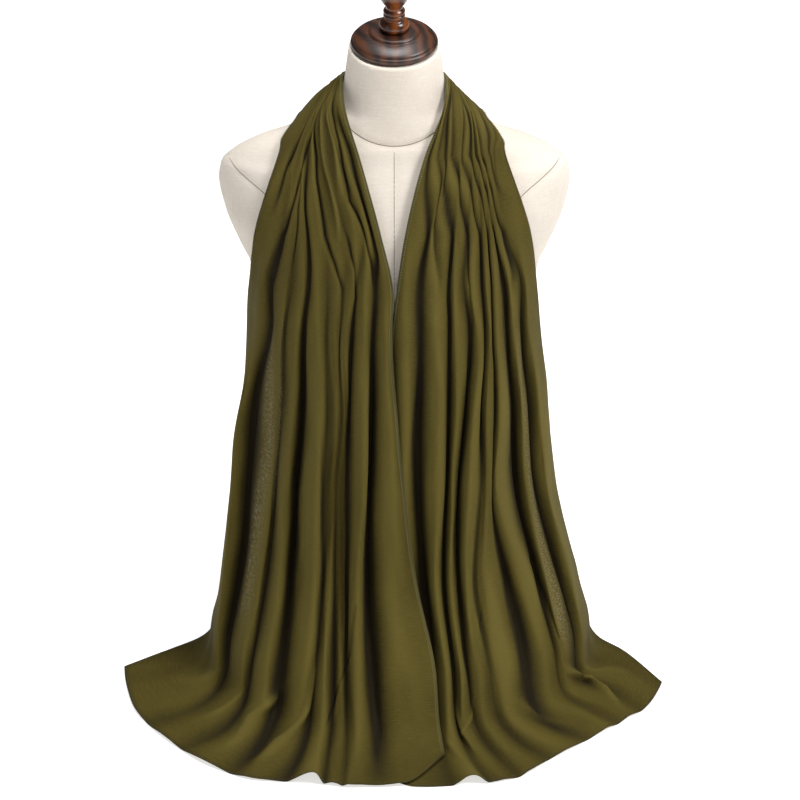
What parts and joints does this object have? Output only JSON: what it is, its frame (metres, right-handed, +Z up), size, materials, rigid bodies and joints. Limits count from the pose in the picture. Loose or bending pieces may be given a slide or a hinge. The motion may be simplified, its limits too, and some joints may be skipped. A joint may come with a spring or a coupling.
{
  "type": "hijab headscarf draped on a limbless dress form",
  "caption": "Long olive jersey headscarf gathered round the neck of a limbless dress form, its two ends hanging in soft folds and spread on the table.",
  "frame": {"origin": "centre of the form's base board, on the table", "axes": "+Z up along the form, front of the form towards -Y, +X to the viewer's right"},
  "size_m": [0.614, 0.4377, 0.7774],
  "materials": {
    "olive_jersey": "soft matt jersey",
    "cream_cover": "matt linen cover",
    "dark_walnut": "dark stain, satin varnish",
    "finial_walnut": "amber brown, gloss varnish",
    "plain_board": "plain, matt"
  },
  "bodies": {
    "root": {"left_tail": "olive_jersey", "right_tail": "olive_jersey", "neck_wrap": "olive_jersey", "form_body": "cream_cover", "neck_cap": "dark_walnut", "finial": "finial_walnut", "base_board": "plain_board"}
  },
  "joints": []
}
